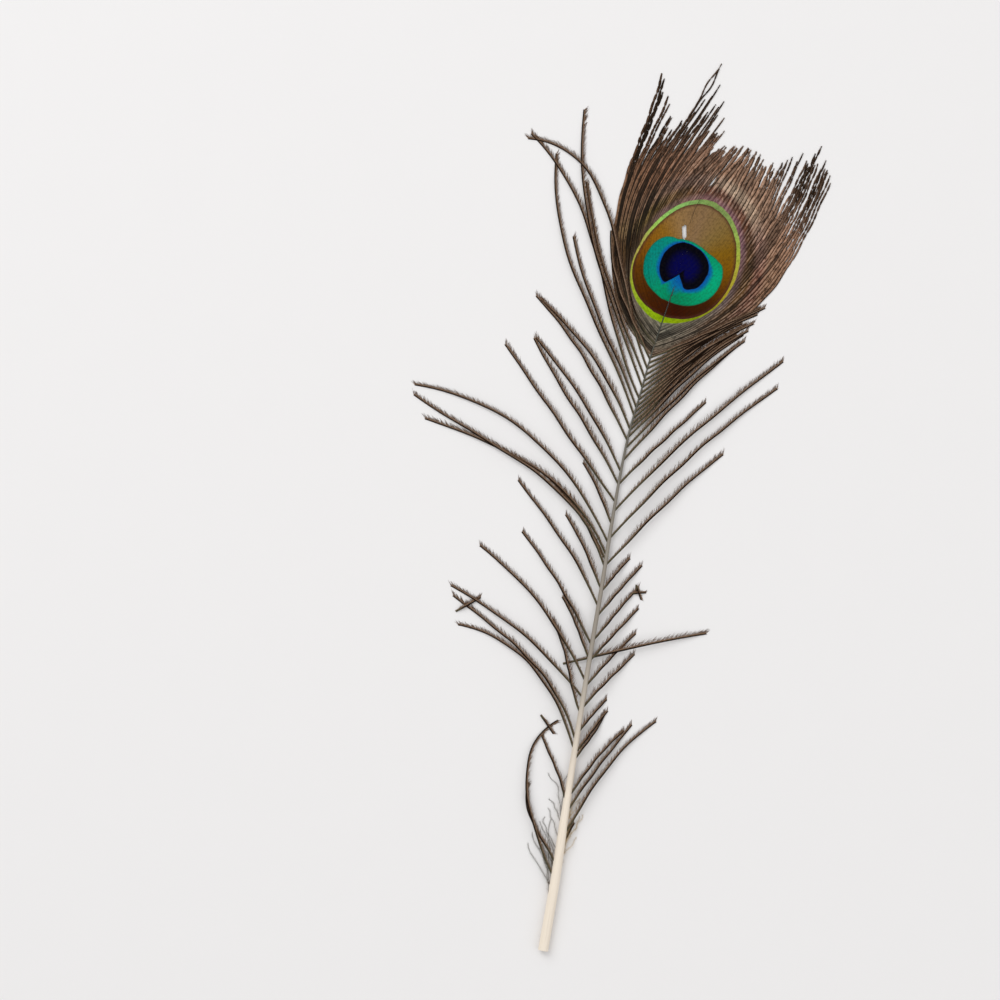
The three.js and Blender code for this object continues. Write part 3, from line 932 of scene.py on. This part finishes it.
def shaft_material(colours):
    """Quill horn: ivory and smooth where it is bare, greyer and then olive towards the eye, with streaks."""
    material, tree = new_material("quill keratin")
    place = add(tree, "TexCoord", out=3)
    y = add(tree, "SeparateXYZ", (place,), out=1)
    metres_up = add(tree, "Math", (y, -QUILL_END[1] * MM), operation="ADD")
    across, along = 1 / (STREAK_WIDTH * MM), 1 / (STREAK_LENGTH * MM)
    streak_place = add(tree, "Mapping", {0: place, 3: (across, along, across)})
    streak = add(tree, "TexNoise", {0: streak_place, 2: 1.0, 3: 3.0})
    colour = layered(
        tree, colours.quill,
        (colours.shaft_middle, (metres_up, 0.040, 0.105)),
        (colours.shaft_end, (metres_up, 0.110, 0.186)),
        (colours.shaft_tip, (metres_up, 0.190, 0.197)),
        (colours.shadow, (streak, 0.5, 0.8), 0.12),
    )
    finish_material(tree, colour, 0.36)
    return material


def floor_material(colours):
    """Matt white paper."""
    material, tree = new_material("matt paper")
    grain = add(tree, "TexNoise", {0: add(tree, "TexCoord", out=3), 2: 1 / (PAPER_GRAIN * MM), 3: 4.0})
    finish_material(tree, layered(tree, colours.floor, (colours.floor_grain, grain, 0.04)), 0.9)
    return material


# What a user would change

def colour_property(name, description, code):
    """Colour setting with a default given as an sRGB hex colour."""
    return FloatVectorProperty(
        name=name, description=description, subtype="COLOR", size=3, min=0, max=1, default=linear(code),
    )


class FeatherColours(PropertyGroup):
    quill: colour_property("Quill", "Bare quill at its cut end", "#ede1d0")
    shaft_middle: colour_property("Shaft middle", "Shaft half way up", "#8f877c")
    shaft_end: colour_property("Shaft end", "Shaft where it enters the eye", "#47463a")
    shaft_tip: colour_property("Shaft in the eye", "Shaft where it shows as a line in the eye", "#1c221a")
    dark_brown: colour_property("Vane's ends", "Barbs of the eye's vane towards their tips", "#4a3220")
    down_dark: colour_property("Dark down", "Down on the left of the quill", "#4c4232")
    down_pale: colour_property("Pale down", "Down on the right of the quill", "#b9a27c")
    back: colour_property("Back of the vane", "Underside of the eye's vane", "#6a5f55")
    lit_barb: colour_property("Lit barb", "Lit flank of a barb of the outer vane", "#bca694")
    ring_line: colour_property("Ring line", "Dark line inside the green ring", "#4e2c24")
    deep_blue: colour_property("Deep blue", "Innermost edge round the pupil", "#0656a2")
    azure: colour_property("Azure", "Bright edge round the pupil", "#066c9e")
    teal_rim: colour_property("Teal rim", "Outer edge of the teal zone", "#04603e")
    pupil: colour_property("Pupil", "Middle of the pupil", "#020244")
    pupil_rim: colour_property("Pupil rim", "Edge of the pupil", "#02020c")
    stem: colour_property("Barb stem", "Stem of a loose barb", "#1e130c")
    stem_root: colour_property("Barb root", "Stem of a loose barb beside the shaft", "#56523f")
    band: colour_property("Barbule base", "Base of the barbules beside a stem", "#8a725e")
    fringe: colour_property("Barbules", "Loose barbules half way out", "#604836")
    fringe_tip: colour_property("Barbule tips", "Tips of the loose barbules", "#5e4632")
    floor: colour_property("Floor", "Surface that the feather lies on", "#ebeaea")
    floor_grain: colour_property("Floor grain", "Darkest grain of that surface", "#cbcbcb")
    # near black used both as painted shade in the vane's grooves and over its darker barbs, and as the real
    # dark of grain, mottles and streaks
    shadow: colour_property("Shadow", "Grooves between barbs and dark grain, nearly black", "#191612")


class FeatherSizes(PropertyGroup):
    eye_barbs: IntProperty(
        name="Eye barbs", description="Barbs on each side of the eye", default=34, min=8, max=60,
    )
    shaft_sides: IntProperty(name="Shaft sides", description="Sides of the shaft", default=20, min=8, max=32)
    camera_height: FloatProperty(
        name="Camera height", description="Distance from the camera to the surface",
        default=1.4, min=0.5, max=5, unit="LENGTH",
    )
    view_width: FloatProperty(
        name="View width", description="Width of the surface that the picture shows",
        default=FRAME_PIXELS * PIXEL * MM, min=0.1, max=1, unit="LENGTH",
    )


# Operators

def move_groove(piece, middle, width, depth):
    """Moves the lowest points of the selected end up by depth times the width, and selects the end again."""
    mesh = bmesh.from_edit_mesh(piece.data)
    end = [v for v in mesh.verts if v.select]
    low = [v for v in end if abs(v.co.x - middle[0]) < GROOVE_HALF * width and v.co.z < middle[2]]
    bpy.ops.mesh.select_all(action="DESELECT")
    for vertex in low:
        vertex.select = True
    bpy.ops.transform.translate(value=(0, 0, depth * width))
    for vertex in end:
        vertex.select = True
    mesh.select_flush(True)


class FEATHER_OT_shaft(Operator):
    """Extrude the quill and shaft along its bends, groove its back and hollow its cut end"""
    bl_idname = "feather.shaft"
    bl_label = "Quill and shaft"

    def execute(self, context):
        stations = np.concatenate([
            np.linspace(SHAFT_TIP, CALAMUS_END, SHAFT_RINGS), np.linspace(CALAMUS_END - 2, 0, QUILL_RINGS),
        ])
        line = shaft_line(stations)
        line[:, :2] += QUILL_END
        line *= MM
        width = shaft_width(stations) * MM
        bpy.ops.object.select_all(action="DESELECT")
        bpy.ops.mesh.primitive_circle_add(
            vertices=context.scene.feather_sizes.shaft_sides, radius=width[0] / 2, fill_type="NGON",
            location=line[0], rotation=(math.pi / 2, 0, 0),
        )
        piece = context.object
        piece.name = piece.data.name = "shaft"
        bpy.ops.object.transform_apply(location=True, rotation=True, scale=True)
        bpy.ops.object.mode_set(mode="EDIT")
        move_groove(piece, line[0], width[0], GROOVE_DEPTH)
        for near, far, was, now, y in zip(line, line[1:], width, width[1:], stations[1:]):
            bpy.ops.mesh.extrude_region_move(TRANSFORM_OT_translate={"value": far - near})
            ratio = now / was
            bpy.ops.transform.resize(value=(ratio, ratio, ratio), center_override=far)
            if y == CALAMUS_END:
                move_groove(piece, far, now, -GROOVE_DEPTH)
        bpy.ops.mesh.inset(thickness=HOLLOW_WALL * MM)
        bpy.ops.mesh.extrude_region_move(TRANSFORM_OT_translate={"value": (0, HOLLOW_DEPTH * MM, 0)})
        bpy.ops.mesh.select_all(action="SELECT")
        bpy.ops.mesh.normals_make_consistent(inside=False)
        bpy.ops.object.mode_set(mode="OBJECT")
        bpy.ops.object.shade_smooth_by_angle(angle=math.radians(CREASE))
        piece.data.materials.append(shaft_material(context.scene.feather_colours))
        finish_piece(piece)
        return {"FINISHED"}


class FEATHER_OT_vanes(Operator):
    """Make the eye's zipped barbs and the loose barbs, each side as one piece"""
    bl_idname = "feather.vanes"
    bl_label = "Vanes and loose barbs"

    def execute(self, context):
        rng = np.random.default_rng(SEED)
        scene = context.scene
        count = scene.feather_sizes.eye_barbs
        vane = vane_material(scene.feather_colours)
        barbule = fringe_material(scene.feather_colours)
        fan = eye_fan(count, rng)
        gaps = half_gaps(fan)
        shade = shading(gaps)
        for name, rows, side in (("left", LEFT_BARBS, -1), ("right", RIGHT_BARBS, 1)):
            held = slice(0, count) if side < 0 else slice(count, None)
            strands = Strands(plan_sheet(FAN_LOW[side], SHEET_UNDER))
            luck = rng.random(count)
            slip = rng.normal(0, SLIP * MM, count)
            add_eye_strips(strands, fan[held], gaps[0][held], gaps[1][held], luck, slip, shade[held])
            if side < 0:
                add_middle(strands, rng)
            at_eye = eye_fringe(fan[held], luck, side, rng)
            strands.sheet = column_sheet(*LOOSE_COLUMNS)
            lines = loose_lines(rows, rng)
            if side < 0:
                add_loose_strips(strands, bare_line(), side, 0.0, bushy=BARE_BUSHY)
            else:
                lines = np.concatenate([lines, *(free_line(row, STRAY_HEIGHT) for row in STRAY_BARBS)])
            luck = rng.random(len(lines))
            add_loose_strips(strands, lines, side, luck)
            lower, upper = loose_fringes(lines, luck, side, rng)
            strands.piece("vane_" + name, vane)
            for kind, barbules in (("lower", lower), ("upper", upper), ("eye", at_eye)):
                barbules.piece(f"{kind}_fringe_{name}", barbule)
        return {"FINISHED"}


class FEATHER_OT_down(Operator):
    """Make the wisps of down beside the bare quill"""
    bl_idname = "feather.down"
    bl_label = "Down"

    def execute(self, context):
        rng = np.random.default_rng(SEED + 1)
        strands = Strands()
        for side, count, first, last, longest in DOWN_TUFTS:
            strands.sheet = column_sheet(0.25 + 0.25 * side, 0.5)
            stations = np.sort(rng.uniform(first, last, count))
            root = shaft_line(stations)
            root[:, 0] += side * 0.4 * shaft_width(stations)
            leave = side * rng.uniform(4, 34, count)
            length = rng.uniform(0.35, 1, (count, 1)) * longest
            tip = root[:, :2] + length * heading(leave + side * rng.uniform(-12, 12, count))[:, :2]
            turn_in = side * rng.uniform(-35, 60, count)
            lines = barb_lines((root, leave, tip, turn_in), DOWN_LIFT, DOWN_STEPS, tip_height=DOWN_HEIGHT)
            _, across = along_and_across(lines)
            t = np.linspace(0, 1, DOWN_STEPS)
            wave = np.sin(2 * np.pi * (t * rng.uniform(1, 3, (count, 1)) + rng.random((count, 1))))
            lines += across * (0.04 * length * wave * t)[..., None]
            thin = 0.075 - 0.045 * t
            add_strips(strands, lines, thin, thin, thin, 0.02, shade=side < 0)
            for line in lines:
                for aside in (1, -1):
                    fringe(strands, line, aside, rng, DOWN_BARBULES, lambda t: 1.1 - 0.6 * t, shade=side < 0)
        strands.piece("down", down_material(context.scene.feather_colours))
        return {"FINISHED"}


def view_middle():
    """Place on the surface at the middle of the picture, in metres."""
    right, down = ((FRAME_PIXELS / 2 - p) * PIXEL for p in QUILL_PIXEL)
    turn = math.radians(LEAN)
    x = right * math.cos(turn) + down * math.sin(turn)
    y = right * math.sin(turn) - down * math.cos(turn)
    return [(x + QUILL_END[0]) * MM, (y + QUILL_END[1]) * MM]


class FEATHER_OT_stage(Operator):
    """Add the surface, soft light and the camera that looks straight down"""
    bl_idname = "feather.stage"
    bl_label = "Stage"

    def execute(self, context):
        scene = context.scene
        sizes = scene.feather_sizes
        bpy.ops.object.select_all(action="DESELECT")
        bpy.ops.mesh.primitive_plane_add(size=FLOOR_SIZE)
        floor = context.object
        floor.name = "floor"
        floor.data.materials.append(floor_material(scene.feather_colours))
        middle = Vector((*view_middle(), 0.0))
        bpy.ops.object.camera_add(
            location=middle + Vector((0, 0, sizes.camera_height)), rotation=(0, 0, math.radians(LEAN)),
        )
        camera = context.object
        camera.data.sensor_width = SENSOR
        camera.data.lens = SENSOR * sizes.camera_height / sizes.view_width
        scene.camera = camera
        for name, place, size, power in LIGHTS:
            bpy.ops.object.light_add(type="AREA", location=place)
            light = context.object
            light.name = name
            light.data.size = size
            light.data.energy = power
            light.rotation_euler = (middle - Vector(place)).to_track_quat("-Z", "Y").to_euler()
        world = bpy.data.worlds.new("studio")
        scene.world = world
        world.use_nodes = True
        back = world.node_tree.nodes["Background"]
        back.inputs["Color"].default_value = STUDIO_TINT
        back.inputs["Strength"].default_value = STUDIO_POWER
        scene.view_settings.view_transform = "Standard"
        return {"FINISHED"}


class FEATHER_PT_panel(Panel):
    bl_label = "Peacock eye feather"
    bl_space_type = "VIEW_3D"
    bl_region_type = "UI"
    bl_category = "Feather"

    def draw(self, context):
        for operator in OPERATORS:
            self.layout.operator(operator.bl_idname)
        for group in (context.scene.feather_sizes, context.scene.feather_colours):
            for name in group.__annotations__:
                self.layout.prop(group, name)


OPERATORS = (FEATHER_OT_stage, FEATHER_OT_shaft, FEATHER_OT_vanes, FEATHER_OT_down)
CLASSES = (FeatherColours, FeatherSizes, *OPERATORS, FEATHER_PT_panel)


def register():
    for kind in CLASSES:
        bpy.utils.register_class(kind)
    bpy.types.Scene.feather_colours = PointerProperty(type=FeatherColours)
    bpy.types.Scene.feather_sizes = PointerProperty(type=FeatherSizes)


def unregister():
    del bpy.types.Scene.feather_sizes
    del bpy.types.Scene.feather_colours
    for kind in reversed(CLASSES):
        bpy.utils.unregister_class(kind)


def main():
    register()
    bpy.ops.feather.stage()
    bpy.ops.feather.shaft()
    bpy.ops.feather.vanes()
    bpy.ops.feather.down()


if __name__ == "__main__":
    main()
